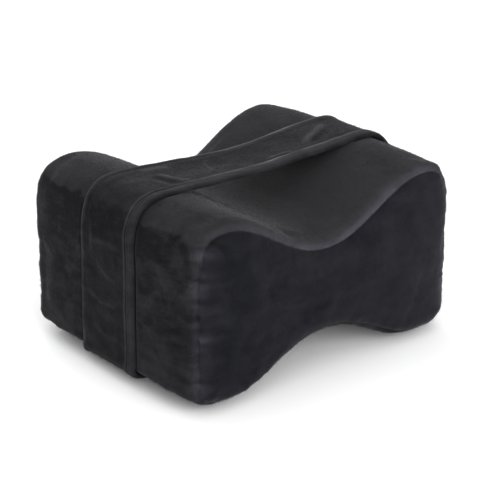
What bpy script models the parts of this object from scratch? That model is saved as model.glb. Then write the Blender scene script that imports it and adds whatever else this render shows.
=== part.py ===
"""Knee pillow: an hourglass foam cushion in a plush cover, with a loop strap round its middle.

Metres, +Z up. X runs across the two lobes, Y along the hollow between them. The origin is the middle of
the underside, and z = 0 is the surface that the pillow stands on.
"""

from collections import namedtuple

import bmesh
import bpy
import numpy as np

# Overall size of the cushion
WIDTH = 0.250
LENGTH = 0.204
HEIGHT = 0.139

# One side of the profile: a hollow between two crests, and a rounded shoulder outside each crest
Side = namedtuple("Side", "hollow_depth crest_x shoulder_height shoulder_fullness")
TOP = Side(hollow_depth=0.0345, crest_x=0.0946, shoulder_height=0.0446, shoulder_fullness=3.0)
UNDERSIDE = Side(hollow_depth=0.0279, crest_x=0.0960, shoulder_height=0.0146, shoulder_fullness=2.1)

# The crown: both ends are narrower, lower and rounder than the middle
END_NARROWING = 0.0048
END_DROP = 0.0036
END_TOP_SHOULDER_GROWTH = 0.0080
END_UNDERSIDE_SHOULDER_GROWTH = 0.0035
CROWN_POWER = 6

# The rounded edge of an end panel, with its drawn-in seam a little more than half way round
END_ROUND = 0.0166
SEAM_DEPTH = 0.0016
PANEL_DOME = 0.0012
EndStep = namedtuple("EndStep", "degrees seam_share")
END_STEPS = (
    EndStep(degrees=90, seam_share=0.0),
    EndStep(degrees=74, seam_share=0.0),
    EndStep(degrees=59, seam_share=0.1),
    EndStep(degrees=52, seam_share=1.0),
    EndStep(degrees=45, seam_share=0.1),
    EndStep(degrees=23, seam_share=0.0),
    EndStep(degrees=0, seam_share=0.0),
)

# The strap, a doubled cloth with a rolled hem along each edge
CLOTH_THICKNESS = 0.0024
HEM_THICKNESS = 0.0036
GAP = 0.0003
STRAP_SAG = 0.0025

# Where the strap's two edges lie along Y, where it passes each place
Edges = namedtuple("Edges", "front back")
EDGES_UNDER = Edges(front=-0.0345, back=0.0270)
EDGES_WALL = Edges(front=-0.0340, back=0.0260)
EDGES_CREST = Edges(front=-0.0305, back=0.0262)
EDGES_HOLLOW = Edges(front=-0.0300, back=0.0195)

# A hem's outer face, from its edge inwards: it falls to a stitched groove before the plain cloth
HemPoint = namedtuple("HemPoint", "from_edge height")
HEM_PROFILE = (
    HemPoint(from_edge=0.0, height=0.0006),
    HemPoint(from_edge=0.0, height=0.0026),
    HemPoint(from_edge=0.0010, height=HEM_THICKNESS),
    HemPoint(from_edge=0.0090, height=HEM_THICKNESS),
    HemPoint(from_edge=0.0106, height=0.0018),
    HemPoint(from_edge=0.0124, height=CLOTH_THICKNESS),
)
HEM_INNER_EDGE = 0.0008

# The feet stand on the strap, which passes under them, and the foam gives a little there
FOOT_LEVEL = HEM_THICKNESS + GAP
FOOT_SQUASH = 0.0007

# Mesh steps
COLUMNS = 37
WALL_ROWS = 8
STRAIGHT_RINGS = 13

COVER_COLOUR = (0.010, 0.010, 0.012, 1.0)
COVER_ROUGHNESS = 0.95


def clear_scene():
    for obj in list(bpy.data.objects):
        bpy.data.objects.remove(obj, do_unlink=True)


def side_depth(side, x, half_width, shoulder_height):
    """How far the surface lies inside the crest line at each x."""
    distance = np.abs(x)
    crest = side.crest_x * half_width / (WIDTH / 2)
    hollow = side.hollow_depth * (1 + np.cos(np.pi * np.clip(distance / crest, 0, 1))) / 2
    out = np.clip((distance - crest) / (half_width - crest), 0, 1)
    fullness = side.shoulder_fullness
    shoulder = shoulder_height * (1 - np.maximum(1 - out**fullness, 0) ** (1 / fullness))
    return np.where(distance <= crest, hollow, shoulder)


def profile(y):
    """The cushion's closed outline at y, as (x, z) rows: over the top, down the right wall and back."""
    crown = min(abs(2 * y / LENGTH), 1) ** CROWN_POWER
    half_width = WIDTH / 2 - END_NARROWING * crown
    x = half_width * np.sin(np.linspace(-np.pi / 2, np.pi / 2, COLUMNS))
    top_shoulder = TOP.shoulder_height + END_TOP_SHOULDER_GROWTH * crown
    top = HEIGHT - END_DROP * crown - side_depth(TOP, x, half_width, top_shoulder)
    low_shoulder = UNDERSIDE.shoulder_height + END_UNDERSIDE_SHOULDER_GROWTH * crown
    low = FOOT_LEVEL - FOOT_SQUASH + side_depth(UNDERSIDE, x, half_width, low_shoulder)
    low = np.maximum(low, FOOT_LEVEL)
    wall = np.linspace(top[0], low[0], WALL_ROWS)[1:-1]
    right_wall = np.stack([np.full_like(wall, half_width), wall], axis=1)
    left_wall = np.stack([np.full_like(wall, -half_width), wall[::-1]], axis=1)
    over = np.stack([x, top], axis=1)
    under = np.stack([x[::-1], low[::-1]], axis=1)
    return np.concatenate([over, right_wall, under, left_wall])


def outward(outline):
    """Each point's outward direction, scaled so that a shift along it keeps the sides parallel."""
    ahead = np.roll(outline, -1, axis=0) - outline
    ahead /= np.linalg.norm(ahead, axis=1, keepdims=True)
    behind = np.roll(ahead, 1, axis=0)
    side_normal = np.stack([-ahead[:, 1], ahead[:, 0]], axis=1)
    bisector = side_normal + np.stack([-behind[:, 1], behind[:, 0]], axis=1)
    bisector /= np.linalg.norm(bisector, axis=1, keepdims=True)
    return bisector / np.sum(bisector * side_normal, axis=1, keepdims=True)


def cushion_ring(y, inset):
    outline = profile(y)
    outline = outline - outward(outline) * inset
    return np.stack([outline[:, 0], np.full(len(outline), y), outline[:, 1]], axis=1)


def end_rings():
    """Rings round the back end, from the straight side to the flat of the end panel."""
    rings = []
    for step in END_STEPS:
        angle = np.radians(step.degrees)
        radius = END_ROUND - SEAM_DEPTH * step.seam_share
        y = LENGTH / 2 - END_ROUND + radius * np.cos(angle)
        rings.append((y, END_ROUND - radius * np.sin(angle)))
    return rings


def ring_places():
    """Every ring's (y, inset), front to back."""
    back_end = end_rings()
    straight_end = back_end[0][0]
    straight = [(y, 0.0) for y in np.linspace(-straight_end, straight_end, STRAIGHT_RINGS)[1:-1]]
    return [(-y, inset) for y, inset in reversed(back_end)] + straight + back_end


def join_rings(mesh, rings, closed):
    """Quads between each ring of points and the next. Rings run clockwise, seen from the front."""
    follow = rings[1:] + rings[:1] if closed else rings[1:]
    for ring, after in zip(rings, follow):
        for i in range(len(ring)):
            j = (i + 1) % len(ring)
            mesh.faces.new((ring[i], after[i], after[j], ring[j]))


def close_end(mesh, ring, outward_y):
    """The end panel, a grid of columns from the ring's top points down to its underside points."""
    top = ring[:COLUMNS]
    right = ring[COLUMNS : COLUMNS + WALL_ROWS - 2]
    under = ring[COLUMNS + WALL_ROWS - 2 : 2 * COLUMNS + WALL_ROWS - 2][::-1]
    left = ring[2 * COLUMNS + WALL_ROWS - 2 :][::-1]
    grid = [top]
    for row in range(1, WALL_ROWS - 1):
        share = row / (WALL_ROWS - 1)
        line = [left[row - 1]]
        for column in range(1, COLUMNS - 1):
            place = top[column].co.lerp(under[column].co, share)
            across = np.sin(np.pi * column / (COLUMNS - 1))
            place.y += outward_y * PANEL_DOME * across * np.sin(np.pi * share)
            line.append(mesh.verts.new(place))
        line.append(right[row - 1])
        grid.append(line)
    grid.append(under)
    for upper, lower in zip(grid, grid[1:]):
        for column in range(COLUMNS - 1):
            face = [upper[column], upper[column + 1], lower[column + 1], lower[column]]
            mesh.faces.new(face if outward_y < 0 else reversed(face))


def strap_path():
    """The strap's inner face round the middle profile: taut, sagging a little over the top hollow."""
    outline = profile(0.0)
    x = outline[:, 0]
    over = np.arange(len(outline)) < COLUMNS
    bridge = over & (np.abs(x) < TOP.crest_x)
    sag = STRAP_SAG * (1 + np.cos(np.pi * x / TOP.crest_x)) / 2
    outline[:, 1] = np.where(bridge, HEIGHT - sag, outline[:, 1])
    first_under = COLUMNS + WALL_ROWS - 2
    number = np.arange(len(outline))
    under = (number >= first_under) & (number < first_under + COLUMNS)
    arch = under & (np.abs(x) < UNDERSIDE.crest_x)
    outline[:, 1] = np.where(arch, FOOT_LEVEL, outline[:, 1])
    return outline + outward(outline) * GAP


def strap_edge(x, z, which):
    """The Y of one edge of the strap, eased between the places where it was measured."""
    crest = TOP.crest_x
    shoulder_top = HEIGHT - TOP.shoulder_height
    if z > HEIGHT / 2 and abs(x) < crest:
        share = (1 - np.cos(np.pi * abs(x) / crest)) / 2
        ends = (EDGES_HOLLOW, EDGES_CREST)
    elif z > shoulder_top:
        share = (z - HEIGHT) / (shoulder_top - HEIGHT)
        ends = (EDGES_CREST, EDGES_WALL)
    else:
        share = (shoulder_top - z) / shoulder_top
        ends = (EDGES_WALL, EDGES_UNDER)
    share = min(max(share, 0.0), 1.0)
    return getattr(ends[0], which) * (1 - share) + getattr(ends[1], which) * share


def strap_section(front, back):
    """The strap's section as (y, height off the inner face) rows, outer face first."""
    front_hem = [(front + point.from_edge, point.height) for point in HEM_PROFILE]
    back_hem = [(back - point.from_edge, point.height) for point in reversed(HEM_PROFILE)]
    inner = [(back - HEM_INNER_EDGE, 0.0), (front + HEM_INNER_EDGE, 0.0)]
    return front_hem + back_hem + inner


def object_from(mesh, name, collection, material):
    data = bpy.data.meshes.new(name)
    mesh.to_mesh(data)
    mesh.free()
    data.shade_smooth()
    data.set_sharp_from_angle(angle=np.radians(40))
    data.materials.append(material)
    obj = bpy.data.objects.new(name, data)
    collection.objects.link(obj)
    return obj


def make_pillow(collection, material):
    mesh = bmesh.new()
    rings = []
    for y, inset in ring_places():
        rings.append([mesh.verts.new(point) for point in cushion_ring(y, inset)])
    join_rings(mesh, rings, closed=False)
    close_end(mesh, rings[0], outward_y=-1)
    close_end(mesh, rings[-1], outward_y=1)
    bmesh.ops.recalc_face_normals(mesh, faces=mesh.faces[:])
    return object_from(mesh, "pillow", collection, material)


def make_strap(collection, material):
    mesh = bmesh.new()
    path = strap_path()
    shift = outward(path)
    rings = []
    for (x, z), (out_x, out_z) in zip(path, shift):
        front = strap_edge(x, z, "front")
        back = strap_edge(x, z, "back")
        ring = []
        for y, height in strap_section(front, back):
            ring.append(mesh.verts.new((x + out_x * height, y, z + out_z * height)))
        rings.append(ring)
    join_rings(mesh, rings, closed=True)
    bmesh.ops.recalc_face_normals(mesh, faces=mesh.faces[:])
    return object_from(mesh, "strap", collection, material)


def make_cloth(name):
    material = bpy.data.materials.new(name)
    material.use_nodes = True
    shader = material.node_tree.nodes["Principled BSDF"]
    shader.inputs["Base Color"].default_value = COVER_COLOUR
    shader.inputs["Roughness"].default_value = COVER_ROUGHNESS
    shader.inputs["Metallic"].default_value = 0.0
    return material


def main():
    clear_scene()
    collection = bpy.data.collections.new("knee_pillow")
    bpy.context.scene.collection.children.link(collection)
    make_pillow(collection, make_cloth("cover_cloth"))
    make_strap(collection, make_cloth("strap_cloth"))


main()
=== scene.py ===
# %% [markdown]
# # A black plush knee pillow
# The object is an hourglass foam cushion in a sewn cover, with a loop strap of the same cloth round its
# middle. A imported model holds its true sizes. This lesson dresses that model with the cover and its sewn
# ends, the strap with its hems and creases, the short pile, and the light that shows them.

# %% The frame that everything is placed in
from collections import namedtuple

import bpy
import numpy as np
from mathutils import Matrix, Vector
from mathutils.geometry import delaunay_2d_cdt
from mathutils.kdtree import KDTree


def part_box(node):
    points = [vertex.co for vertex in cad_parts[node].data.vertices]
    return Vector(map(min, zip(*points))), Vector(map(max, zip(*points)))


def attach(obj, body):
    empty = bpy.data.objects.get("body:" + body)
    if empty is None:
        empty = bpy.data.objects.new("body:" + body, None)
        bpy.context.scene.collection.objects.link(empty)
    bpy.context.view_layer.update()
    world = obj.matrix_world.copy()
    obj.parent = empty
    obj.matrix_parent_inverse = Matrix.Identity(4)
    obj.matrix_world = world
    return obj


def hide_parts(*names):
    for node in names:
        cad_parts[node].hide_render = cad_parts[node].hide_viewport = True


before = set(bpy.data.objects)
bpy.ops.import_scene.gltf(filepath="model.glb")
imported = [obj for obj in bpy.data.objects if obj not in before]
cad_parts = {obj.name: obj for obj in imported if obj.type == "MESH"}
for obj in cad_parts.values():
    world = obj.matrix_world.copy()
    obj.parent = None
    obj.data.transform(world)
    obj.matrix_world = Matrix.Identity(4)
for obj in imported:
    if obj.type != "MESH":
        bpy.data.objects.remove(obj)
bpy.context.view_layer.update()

PILLOW_LOW, PILLOW_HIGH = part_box("pillow")
WIDTH = PILLOW_HIGH.x - PILLOW_LOW.x
HEIGHT = PILLOW_HIGH.z
print("cushion", round(WIDTH * 1000), "mm wide and", round(HEIGHT * 1000), "mm high")

# %% [markdown]
# ## The profile
# Cut across, the cushion is an hourglass on its side: a hollow between two crests on top, an arch between
# two feet below. A cosine makes the hollow and the arch, and a superellipse makes each rounded shoulder,
# because its one "fullness" number goes from an ellipse to an almost square corner. The outline is then
# read off at equal steps, so small wrinkles come out alike everywhere.

# %% Sizes of the cushion
LENGTH = 0.204
Side = namedtuple("Side", "hollow_depth crest_x shoulder_height shoulder_fullness")
TOP = Side(hollow_depth=0.0345, crest_x=0.0946, shoulder_height=0.0446, shoulder_fullness=3.0)
UNDERSIDE = Side(hollow_depth=0.0279, crest_x=0.096, shoulder_height=0.0146, shoulder_fullness=2.1)
END_NARROWING = 0.0048
END_DROP = 0.0036
END_TOP_SHOULDER_GROWTH = 0.008
END_UNDERSIDE_SHOULDER_GROWTH = 0.0035
CROWN_POWER = 6
END_ROUND = 0.0166
FOOT_SQUASH = 0.0007

# %% Sizes of the strap
CLOTH_THICKNESS = 0.0024
HEM_THICKNESS = 0.0036
GAP = 0.0003
STRAP_SAG = 0.0025
FOOT_LEVEL = HEM_THICKNESS + GAP
Edges = namedtuple("Edges", "front back")
EDGES_UNDER = Edges(front=-0.0345, back=0.027)
EDGES_WALL = Edges(front=-0.034, back=0.026)
EDGES_CREST = Edges(front=-0.0305, back=0.0262)
EDGES_HOLLOW = Edges(front=-0.03, back=0.0195)
FRONT_SKEW = 0.0032
UNDER_SHIFT = 0.01
UNDER_TURN = 0.023

# %% Equal steps along a line
def columns(*values):
    return np.stack(values, axis=1)


Samples = namedtuple("Samples", "hollow shoulder wall")
DENSE = Samples(hollow=150, shoulder=150, wall=120)
LINE_SAMPLES = 200


def even_steps(line, count):
    lengths = np.linalg.norm(np.diff(line, axis=0), axis=1)
    travelled = np.concatenate([[0], np.cumsum(lengths)])
    places = np.linspace(0, travelled[-1], count + 1)
    return columns(*(np.interp(places, travelled, line[:, axis]) for axis in range(line.shape[1])))


# %% One half of the top or of the underside
def half_side(side, half_width, shoulder_height, samples):
    """(x, depth below the crest) rows, from the middle of the hollow out to the wall."""
    crest = side.crest_x * half_width / (WIDTH / 2)
    x = np.linspace(0, crest, LINE_SAMPLES)
    hollow = columns(x, side.hollow_depth * (1 + np.cos(np.pi * x / crest)) / 2)
    turn = np.linspace(0, np.pi / 2, LINE_SAMPLES)
    power = 2 / side.shoulder_fullness
    out = crest + (half_width - crest) * np.sin(turn) ** power
    drop = shoulder_height * (1 - np.maximum(np.cos(turn), 0) ** power)
    shoulder = columns(out, drop)
    return np.concatenate([even_steps(hollow, samples.hollow), even_steps(shoulder, samples.shoulder)[1:]])


def both_halves(half):
    mirrored = half[:0:-1] * (-1, 1)
    return np.concatenate([mirrored, half])


# %% The whole outline at one place along the cushion
def outline_at(y, samples):
    """(x, z) rows: over the top, down the right wall, back under and up the left wall."""
    crown = min(abs(2 * y / LENGTH), 1) ** CROWN_POWER
    half_width = WIDTH / 2 - END_NARROWING * crown
    high_shoulder = TOP.shoulder_height + END_TOP_SHOULDER_GROWTH * crown
    over = both_halves(half_side(TOP, half_width, high_shoulder, samples))
    over[:, 1] = HEIGHT - END_DROP * crown - over[:, 1]
    low_shoulder = UNDERSIDE.shoulder_height + END_UNDERSIDE_SHOULDER_GROWTH * crown
    under = both_halves(half_side(UNDERSIDE, half_width, low_shoulder, samples))
    under[:, 1] = np.maximum(FOOT_LEVEL - FOOT_SQUASH + under[:, 1], FOOT_LEVEL)
    wall = np.linspace(over[-1], under[-1], samples.wall + 1)[1:-1]
    left_wall = wall[::-1] * (-1, 1)
    return np.concatenate([over, wall, under[::-1], left_wall])


def side_count(samples):
    """How many points of an outline lie on its top, and as many on its underside."""
    return 2 * (samples.hollow + samples.shoulder) + 1


def outward(outline):
    """Each point's outward direction, scaled so that a shift along it keeps the sides parallel."""
    ahead = np.roll(outline, -1, axis=0) - outline
    ahead /= np.linalg.norm(ahead, axis=1, keepdims=True)
    behind = np.roll(ahead, 1, axis=0)
    side_normal = columns(-ahead[:, 1], ahead[:, 0])
    bisector = side_normal + columns(-behind[:, 1], behind[:, 0])
    bisector /= np.linalg.norm(bisector, axis=1, keepdims=True)
    return bisector / np.sum(bisector * side_normal, axis=1, keepdims=True)


print("points round the dense outline:", len(outline_at(0.0, DENSE)))

# %% [markdown]
# ## Rings that never cross
# The cover's ends are rounded, so the last rings lie inside the outline. Where a corner is tighter than the
# rounding, points that are pushed inwards cross over and the mesh folds. So every pushed point that comes
# too near the outline is dropped, and the rest is read off again in even steps between four anchors: the
# middle of the top, of each wall and of the underside.

# %% A nearest-point finder
def finder_of(points):
    finder = KDTree(len(points))
    for i, point in enumerate(points):
        finder.insert(point if len(point) == 3 else (point[0], point[1], 0.0), i)
    finder.balance()
    return finder


# %% Rings with even steps
Mesh = namedtuple("Mesh", "upper_quarter lower_quarter ring_step end_rings panel_step")
FINE = Mesh(upper_quarter=162, lower_quarter=144, ring_step=0.0021, end_rings=22, panel_step=0.0022)
COARSE = Mesh(upper_quarter=46, lower_quarter=40, ring_step=0.0048, end_rings=6, panel_step=0.0052)
LEAST_CLEARANCE = 0.998
SEAM_ANGLE = np.radians(52)


def anchor_numbers(samples):
    """Numbers of the points in the middle of the top, right wall, underside and left wall."""
    side, wall = side_count(samples), samples.wall - 1
    return [side // 2, side + wall // 2, side + wall + side // 2, 2 * side + wall + wall // 2]


def inset_outline(y, inset):
    """(outline moved inwards, its anchors), without the points that would cross over."""
    outline = outline_at(y, DENSE)
    anchors = anchor_numbers(DENSE)
    if inset == 0:
        return outline, anchors
    moved = outline - outward(outline) * inset
    finder = finder_of(outline)
    clear = np.array([finder.find((x, z, 0.0))[2] > inset * LEAST_CLEARANCE for x, z in moved])
    clear[anchors] = True
    return moved[clear], [int(clear[:anchor].sum()) for anchor in anchors]


def ring_at(y, inset, mesh):
    outline, anchors = inset_outline(y, inset)
    following = anchors[1:] + [anchors[0] + len(outline)]
    counts = (mesh.upper_quarter, mesh.lower_quarter, mesh.lower_quarter, mesh.upper_quarter)
    twice = np.concatenate([outline, outline])
    quarters = []
    for start, end, count in zip(anchors, following, counts):
        quarters.append(even_steps(twice[start : end + 1], count)[:-1])
    ring = np.concatenate(quarters)
    return columns(ring[:, 0], np.full(len(ring), y), ring[:, 1])


def end_ring(angle, mesh):
    """A ring on the back end's rounded edge: at 90 degrees it is on the band, and at 0 on the panel."""
    y = LENGTH / 2 - END_ROUND + END_ROUND * np.cos(angle)
    return ring_at(y, END_ROUND * (1 - np.sin(angle)), mesh)


# %% [markdown]
# ## The cover as one closed mesh
# The band is rings from front to back, closer together near the ends where the wrinkles are. Each end panel
# is filled with evenly spread points, and a constrained triangulation joins them to the last ring. Plain
# arrays hold all of it, so later steps can move every point at once.

# %% Filling an end panel
PANEL_DOME = 0.0012
DOME_REACH = 0.035
ROW_SHARE = 0.866
BORDER_SHARE = 0.62
TRIANGLES_INSIDE = 1
MERGE_DISTANCE = 1e-7


def inside(points, border):
    """Which points lie inside the closed border."""
    start, end = border, np.roll(border, -1, axis=0)
    x, z = points[:, :1], points[:, 1:]
    crosses = (start[:, 1] > z) != (end[:, 1] > z)
    rise = np.where(start[:, 1] == end[:, 1], 1.0, end[:, 1] - start[:, 1])
    at = start[:, 0] + (z - start[:, 1]) * (end[:, 0] - start[:, 0]) / rise
    return (crosses & (x < at)).sum(axis=1) % 2 == 1


def fill_panel(border, step):
    """(inner points, how far each is from the border, triangles), with the border's points first."""
    low, high = border.min(axis=0), border.max(axis=0)
    rows = []
    for number, z in enumerate(np.arange(low[1] + step, high[1], step * ROW_SHARE)):
        x = np.arange(low[0] + step * (1 + 0.5 * (number % 2)), high[0], step)
        rows.append(columns(x, np.full(len(x), z)))
    inner = np.concatenate(rows)
    inner = inner[inside(inner, border)]
    finder = finder_of(border)
    room = np.array([finder.find((x, z, 0.0))[2] for x, z in inner])
    inner, room = inner[room > step * BORDER_SHARE], room[room > step * BORDER_SHARE]
    places = [Vector(place) for place in np.concatenate([border, inner]).tolist()]
    outline = [list(range(len(border)))]
    found = delaunay_2d_cdt(places, [], outline, TRIANGLES_INSIDE, MERGE_DISTANCE)
    source = [sources[0] for sources in found[3]]
    triangles = np.array([[source[corner] for corner in face] for face in found[2]])
    corners = np.concatenate([border, inner])[triangles]
    first, second = corners[:, 1] - corners[:, 0], corners[:, 2] - corners[:, 0]
    clockwise = first[:, 0] * second[:, 1] - first[:, 1] * second[:, 0] < 0
    triangles[clockwise] = triangles[clockwise][:, ::-1]
    return inner, room, triangles


# %% Points and faces of the closed cover
CROWDING = 0.22
TO_FRONT = (1, -1, 1)


def band_places(mesh):
    """Where the band's rings lie between its two rounded ends, closer together near the ends."""
    straight = LENGTH / 2 - END_ROUND
    share = np.linspace(-1, 1, round(2 * straight / mesh.ring_step) + 1)[1:-1]
    return straight * ((1 + CROWDING) * share - CROWDING * share**3)


def cover_arrays(mesh):
    """(points, faces) of the whole cover, from its front panel to its back panel."""
    on_panel_side = np.linspace(0, SEAM_ANGLE, mesh.end_rings // 2 + 1)
    on_band_side = np.linspace(SEAM_ANGLE, np.pi / 2, mesh.end_rings // 2)[1:]
    back_rings = [end_ring(angle, mesh) for angle in (*on_panel_side, *on_band_side)]
    rings = [ring * TO_FRONT for ring in back_rings]
    rings += [ring_at(y, 0, mesh) for y in band_places(mesh)]
    rings += back_rings[::-1]
    band = np.array(rings)
    number = np.arange(band.shape[0] * band.shape[1]).reshape(band.shape[:2])
    beside = np.roll(number, -1, axis=1)
    quads = np.stack([number[:-1], beside[:-1], beside[1:], number[1:]], axis=-1).reshape(-1, 4)
    faces = quads.tolist()
    points = [band.reshape(-1, 3)]
    border = back_rings[0][:, (0, 2)]
    inner, room, triangles = fill_panel(border, mesh.panel_step)
    dome = PANEL_DOME * np.sin(np.pi / 2 * np.clip(room / DOME_REACH, 0, 1))
    made = number.size
    for ring, side in ((number[0], -1), (number[-1], 1)):
        index = np.concatenate([ring, made + np.arange(len(inner))])
        faces += index[triangles][:, ::-side].tolist()
        points.append(columns(inner[:, 0], side * (LENGTH / 2 + dome), inner[:, 1]))
        made += len(inner)
    return np.concatenate(points), faces


# %% Meshes from arrays, and back again
def mesh_object(name, points, faces):
    mesh = bpy.data.meshes.new(name)
    mesh.from_pydata(points.tolist(), [], faces)
    mesh.update()
    mesh.shade_smooth()
    obj = bpy.data.objects.new(name, mesh)
    bpy.context.scene.collection.objects.link(obj)
    return obj


def read_vectors(collection, name):
    values = np.empty(len(collection) * 3, np.float32)
    collection.foreach_get(name, values)
    return values.reshape(-1, 3).astype(float)


def normals_of(obj):
    return read_vectors(obj.data.vertex_normals, "vector")


def move_points(obj, points):
    obj.data.vertices.foreach_set("co", points.astype(np.float32).ravel())
    obj.data.update()


fine_points, fine_faces = cover_arrays(FINE)
cover = mesh_object("cushion_cover", fine_points, fine_faces)
cover_normals = normals_of(cover)
print("cover:", len(fine_points), "points,", len(fine_faces), "faces")

# %% [markdown]
# ## A soft, repeatable unevenness
# Sewn cloth is never quite even. A lattice of fixed pseudo-random values, blended smoothly in between,
# gives a soft noise that is the same on every run. Its size is in metres, so each use says how wide its
# waves are. One size for each axis makes streaks and folds.

# %% Soft noise on arrays of points
Hash = namedtuple("Hash", "x y z seed mix")
HASH = Hash(x=374761393, y=668265263, z=1440662683, seed=1274126177, mix=2246822519)
WORD = 0xFFFFFFFF


def lattice_value(cell, seed):
    x, y, z = cell[..., 0], cell[..., 1], cell[..., 2]
    mixed = (x * HASH.x + y * HASH.y + z * HASH.z + seed * HASH.seed) & WORD
    mixed = ((mixed ^ (mixed >> 15)) * HASH.mix) & WORD
    mixed = ((mixed ^ (mixed >> 13)) * HASH.seed) & WORD
    return (mixed ^ (mixed >> 16)) / WORD * 2 - 1


def soft_noise(points, size, seed):
    """Smooth noise from -1 to 1. size is its wave's size in metres, or one size for each axis."""
    scaled = points / np.asarray(size)
    cell = np.floor(scaled).astype(np.int64)
    within = scaled - cell
    ease = within * within * (3 - 2 * within)
    total = np.zeros(len(points))
    for corner in np.ndindex(2, 2, 2):
        corner = np.array(corner)
        weight = np.prod(np.where(corner == 1, ease, 1 - ease), axis=1)
        total += weight * lattice_value(cell + corner, seed)
    return total


Noise = namedtuple("Noise", "strength size seed")


def layered_noise(points, layers):
    """The sum of several noises, each with its own strength, size and seed."""
    return sum(layer.strength * soft_noise(points, layer.size, layer.seed) for layer in layers)


def ease_in(value, start, end):
    """0 at start and 1 at end, smooth in between."""
    share = np.clip((value - start) / (end - start), 0, 1)
    return share * share * (3 - 2 * share)


def blend(first, second, share):
    """first where share is 0, and second where it is 1."""
    return first * (1 - share) + second * share


print("noise at the origin:", round(float(soft_noise(np.zeros((1, 3)), 0.01, 1)[0]), 3))

# %% [markdown]
# ## Where the seams pull
# Each end panel is sewn to the band on the rounded edge, a little more than half way round. The thread is
# shorter than the cloth, so the seam sinks in, and the cloth on both sides gathers into small puckers that
# run square to it. Every point of the cover needs two facts for that: how far it is from the seam, and
# which place on the seam is nearest. A tree of seam points finds both.

# %% Distance to the nearest seam
SEAM_REACH = 0.05
SEAM_SAMPLE = 0.0004
PAST_SEAM = 1e-5


def seam_line():
    ring = end_ring(SEAM_ANGLE, FINE)
    closed = np.concatenate([ring, ring[:1]])
    length = np.sum(np.linalg.norm(np.diff(closed, axis=0), axis=1))
    return even_steps(closed, round(length / SEAM_SAMPLE))[:-1]


back_seam = seam_line()
seam_finder = finder_of(back_seam)
seam_distance = np.full(len(fine_points), SEAM_REACH)
seam_place = np.zeros((len(fine_points), 3))
for i in np.flatnonzero(np.abs(fine_points[:, 1]) > LENGTH / 2 - SEAM_REACH):
    mirrored = fine_points[i] * (1, np.sign(fine_points[i, 1]), 1)
    place, _, distance = seam_finder.find(mirrored)
    seam_distance[i] = min(distance, SEAM_REACH)
    seam_place[i] = place
seam_place[:, 1] *= np.sign(fine_points[:, 1])
on_panel = np.abs(fine_points[:, 1]) > back_seam[0, 1] + PAST_SEAM
print("seam:", round(len(back_seam) * SEAM_SAMPLE, 3), "m round each end")

# %% [markdown]
# ## Swelling the cover
# Padded cloth is best found by simulation. A coarser copy of the cover is blown up a little with no
# gravity, held at its seams and its feet, with cloth that is cut slightly large. It rises into broad soft
# waves between the seams. Only these small moves are kept, capped, and carried over to the fine cover.

# %% The simulated swell
CLOTH = {
    "quality": 6, "mass": 0.15, "tension_stiffness": 20, "compression_stiffness": 20, "shear_stiffness": 8,
    "bending_stiffness": 0.3, "use_pressure": True, "uniform_pressure_force": 1.2, "shrink_min": -0.015,
}
SWELL_FRAMES = 20
SWELL_CAP = 0.0016
SEAM_HOLD = 0.0012
FOOT_HOLD = 0.001


def swell_moves():
    """(points, moves) of a coarse cover that was blown up as cloth."""
    points, faces = cover_arrays(COARSE)
    pad = mesh_object("swelling_pad", points, faces)
    held = np.abs(np.abs(points[:, 1]) - back_seam[0, 1]) < SEAM_HOLD
    held |= points[:, 2] < FOOT_LEVEL + FOOT_HOLD
    group = pad.vertex_groups.new(name="held")
    group.add([int(i) for i in np.flatnonzero(held)], 1.0, "REPLACE")
    cloth = pad.modifiers.new("cloth", "CLOTH")
    for label, value in CLOTH.items():
        setattr(cloth.settings, label, value)
    cloth.settings.vertex_group_mass = group.name
    cloth.settings.effector_weights.gravity = 0
    cloth.collision_settings.use_collision = False
    for number in range(1, SWELL_FRAMES + 1):
        bpy.context.scene.frame_set(number)
    settled = pad.evaluated_get(bpy.context.evaluated_depsgraph_get())
    moves = read_vectors(settled.data.vertices, "co") - points
    bpy.data.objects.remove(pad, do_unlink=True)
    bpy.context.scene.frame_set(1)
    return points, moves


# %% Carrying the swell over to the fine cover
SWELL_NEIGHBOURS = 6
SWELL_BLUR = 0.0055


def carry_over(points, values, targets):
    """Blends the values of the nearest points at each target."""
    finder = finder_of(points)
    carried = np.empty(len(targets))
    for i, target in enumerate(targets):
        near = finder.find_n(target, SWELL_NEIGHBOURS)
        weights = np.array([np.exp(-((distance / SWELL_BLUR) ** 2)) for _, _, distance in near])
        carried[i] = weights @ values[[index for _, index, _ in near]] / weights.sum()
    return carried


swell = np.zeros(len(fine_points))
rest_points, swell_vectors = swell_moves()
length = np.linalg.norm(swell_vectors, axis=1)
print("swell: at most", round(float(length.max()) * 1000, 2), "mm")
rest_centre = rest_points - rest_points.mean(axis=0)
lifted = length * np.sign(np.sum(swell_vectors * rest_centre, axis=1))
swell = carry_over(rest_points, SWELL_CAP * np.tanh(lifted / SWELL_CAP), fine_points)

# %% [markdown]
# ## Shaping the cover
# Now the small forms are added together as one height for each point, and the points move along their
# normals. The strap presses the cover in where it lies on it, and the cover stays as it is where its feet
# stand on the strap. The strap's edges are curves round the cushion, and they slip back under the feet.

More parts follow.
